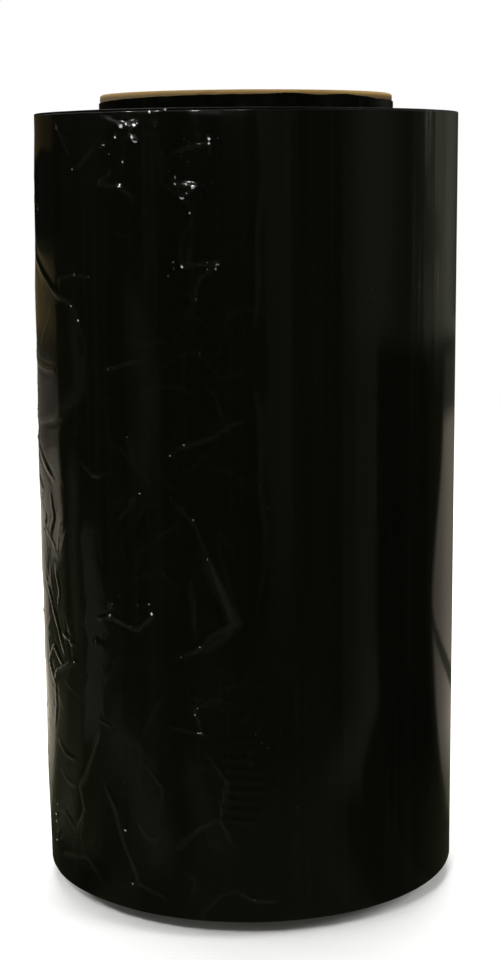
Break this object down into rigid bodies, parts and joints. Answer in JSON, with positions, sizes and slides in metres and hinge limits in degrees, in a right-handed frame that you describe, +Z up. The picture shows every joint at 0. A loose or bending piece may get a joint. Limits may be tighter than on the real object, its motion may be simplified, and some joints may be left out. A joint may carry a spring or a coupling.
{
  "type": "stretch wrap roll",
  "caption": "Roll of black stretch wrap film on a cardboard core, with a slack creased outer turn, standing on one end.",
  "frame": {"origin": "on the core's axis, at the face of the core's lower end, which the roll stands on", "axes": "+Z up along the core's axis; -Y faces the side that the picture shows; +X is its right"},
  "size_m": [0.1393, 0.1389, 0.262],
  "materials": {
    "core_cardboard": "bare kraft board, matt, spiral wound, with faint fibres and ply seams",
    "stretch_film": "glossy black film, creased on its slack side and lightly scuffed"
  },
  "bodies": {
    "root": {"core": "core_cardboard", "film": "stretch_film"}
  },
  "joints": []
}
